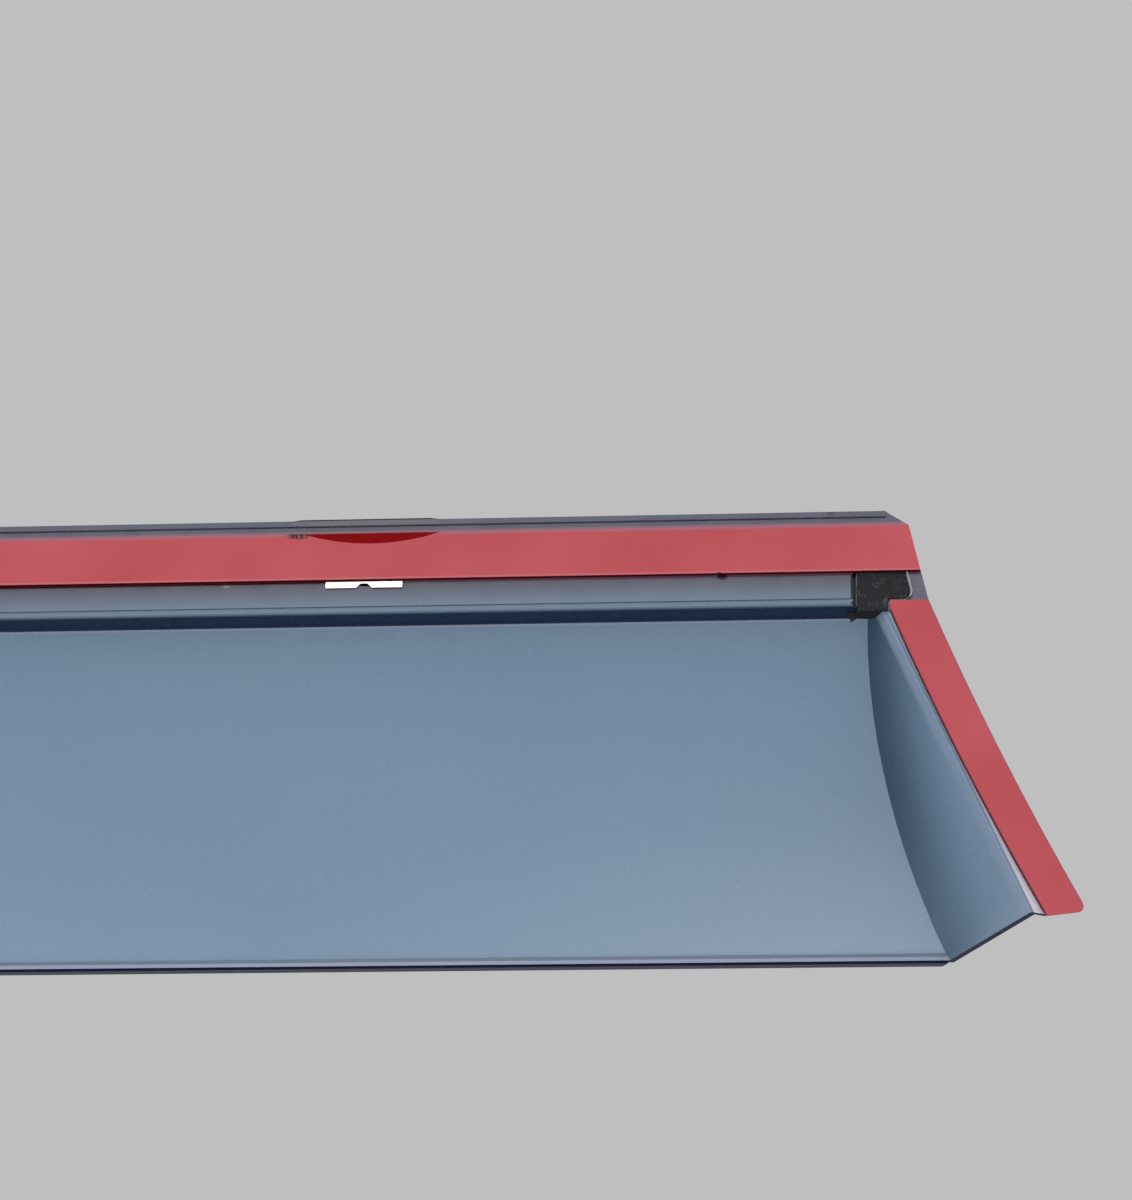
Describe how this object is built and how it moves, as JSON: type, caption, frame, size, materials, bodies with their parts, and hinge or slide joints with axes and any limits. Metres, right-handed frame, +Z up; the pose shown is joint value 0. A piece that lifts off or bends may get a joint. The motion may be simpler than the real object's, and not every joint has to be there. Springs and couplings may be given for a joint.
{
  "type": "window rain deflector",
  "caption": "Smoked translucent side-window rain deflector: arched hood with cheeks, taped top and side flanges, corner foam and steel clips.",
  "frame": {"origin": "middle of the face of the top tape's liner, in the mirror plane", "axes": "+X along the length, towards the end that the picture shows; +Y away from the vehicle, the way the hood bulges; +Z up; the bonding faces look to -Y"},
  "size_m": [0.5902, 0.0424, 0.1022],
  "materials": {
    "smoked_acrylic": "glossy moulded, smoked blue tint",
    "bonding_tape": "matt acrylic foam",
    "release_film": "satin film",
    "corner_foam": "open-cell foam, matt",
    "stainless_sheet": "bright rolled sheet"
  },
  "bodies": {
    "root": {"hood": "smoked_acrylic", "top_tape": "bonding_tape", "top_tape_liner": "release_film", "side_tape_right": "bonding_tape", "side_tape_left": "bonding_tape", "side_liner_right": "release_film", "side_liner_left": "release_film", "corner_foam_right": "corner_foam", "corner_foam_left": "corner_foam", "clip_right": "stainless_sheet", "clip_left": "stainless_sheet"}
  },
  "joints": []
}
